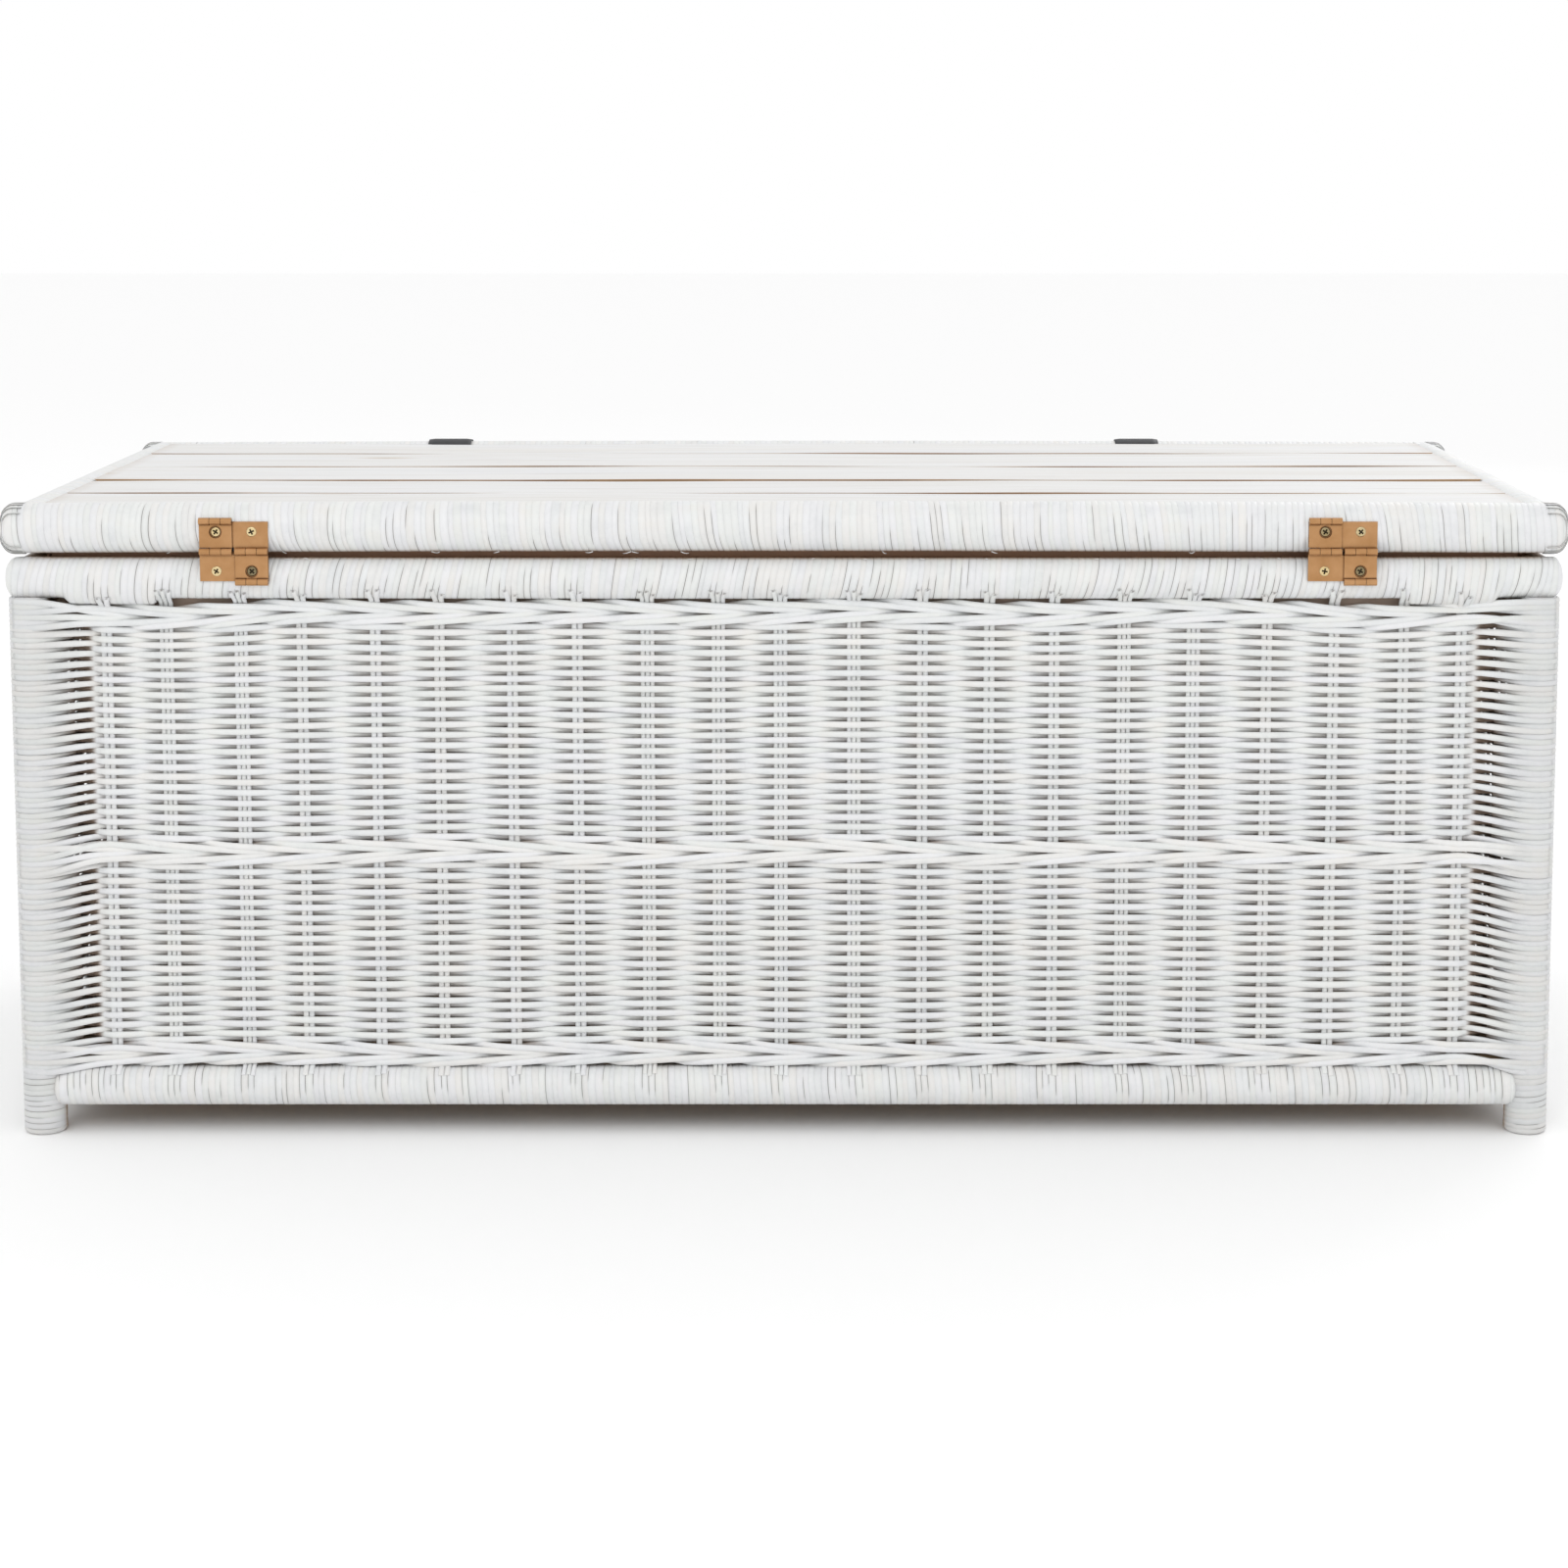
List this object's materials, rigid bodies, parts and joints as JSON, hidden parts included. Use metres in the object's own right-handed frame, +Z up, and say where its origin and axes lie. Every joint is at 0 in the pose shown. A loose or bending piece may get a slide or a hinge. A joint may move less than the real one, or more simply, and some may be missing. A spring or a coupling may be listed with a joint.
{
  "type": "wicker storage trunk",
  "caption": "Low rectangular woven storage trunk on short post feet, with a slatted hinged lid and leather pull straps at the front.",
  "frame": {"origin": "on the floor under the middle of the trunk's bounding box", "axes": "+X along the trunk's length, to the right as seen from the front; +Y towards the back, where the hinges are; +Z up"},
  "size_m": [1.07, 0.4781, 0.4441],
  "materials": {
    "cane_peel": "white-painted flat cane peel wrapped round poles, satin, thin dark seams",
    "wicker": "white-painted round reed, woven, satin",
    "whitewashed_wood": "whitewashed pine boards, faint grain, satin",
    "plain_wood": "unpainted plywood and battens, matte",
    "hinge_bronze": "bronze-gold plated sheet, semi-gloss",
    "screw_brass": "bright brass, semi-gloss",
    "leather": "dark charcoal leather, smooth, slight sheen"
  },
  "bodies": {
    "trunk_body": {"body_bottom_rail_back": "cane_peel", "body_bottom_rail_front": "cane_peel", "body_bottom_rail_left": "cane_peel", "body_bottom_rail_right": "cane_peel", "body_top_rail_back": "cane_peel", "body_top_rail_front": "cane_peel", "body_top_rail_left": "cane_peel", "body_top_rail_right": "cane_peel", "floor_brace_left": "plain_wood", "floor_brace_right": "plain_wood", "floor_panel": "plain_wood", "hinge_left_lower_link": "hinge_bronze", "hinge_left_lower_plate": "hinge_bronze", "hinge_left_pin_b": "hinge_bronze", "hinge_left_pin_d": "hinge_bronze", "hinge_left_screw_3": "screw_brass", "hinge_left_screw_4": "screw_brass", "hinge_right_lower_link": "hinge_bronze", "hinge_right_lower_plate": "hinge_bronze", "hinge_right_pin_b": "hinge_bronze", "hinge_right_pin_d": "hinge_bronze", "hinge_right_screw_3": "screw_brass", "hinge_right_screw_4": "screw_brass", "post_back_left": "cane_peel", "post_back_right": "cane_peel", "post_front_left": "cane_peel", "post_front_right": "cane_peel", "woven_panel_back": "wicker", "woven_panel_front": "wicker", "woven_panel_left": "wicker", "woven_panel_right": "wicker"},
    "lid": {"hinge_left_pin_a": "hinge_bronze", "hinge_left_pin_c": "hinge_bronze", "hinge_left_screw_1": "screw_brass", "hinge_left_screw_2": "screw_brass", "hinge_left_upper_link": "hinge_bronze", "hinge_left_upper_plate": "hinge_bronze", "hinge_right_pin_a": "hinge_bronze", "hinge_right_pin_c": "hinge_bronze", "hinge_right_screw_1": "screw_brass", "hinge_right_screw_2": "screw_brass", "hinge_right_upper_link": "hinge_bronze", "hinge_right_upper_plate": "hinge_bronze", "lid_batten_left": "plain_wood", "lid_batten_middle": "plain_wood", "lid_batten_right": "plain_wood", "lid_plank_1": "whitewashed_wood", "lid_plank_2": "whitewashed_wood", "lid_plank_3": "whitewashed_wood", "lid_plank_4": "whitewashed_wood", "lid_plank_5": "whitewashed_wood", "lid_rail_back": "cane_peel", "lid_rail_front": "cane_peel", "lid_rail_left": "cane_peel", "lid_rail_right": "cane_peel"},
    "strap_left": {"strap_left": "leather", "strap_left_rivet": "screw_brass"},
    "strap_right": {"strap_right": "leather", "strap_right_rivet": "screw_brass"}
  },
  "joints": [
    {"name": "lid_hinge", "type": "hinge", "parent": "trunk_body", "child": "lid", "pos_m": [0, 0.2369, 0.40995], "axis": [-1, 0, 0], "range_deg": [0, 170]},
    {"name": "strap_left_swing", "type": "hinge", "parent": "lid", "child": "strap_left", "pos_m": [-0.2815, -0.2177, 0.4247], "axis": [-1, 0, 0], "range_deg": [0, 95]},
    {"name": "strap_right_swing", "type": "hinge", "parent": "lid", "child": "strap_right", "pos_m": [0.2815, -0.2177, 0.4247], "axis": [-1, 0, 0], "range_deg": [0, 95]}
  ]
}
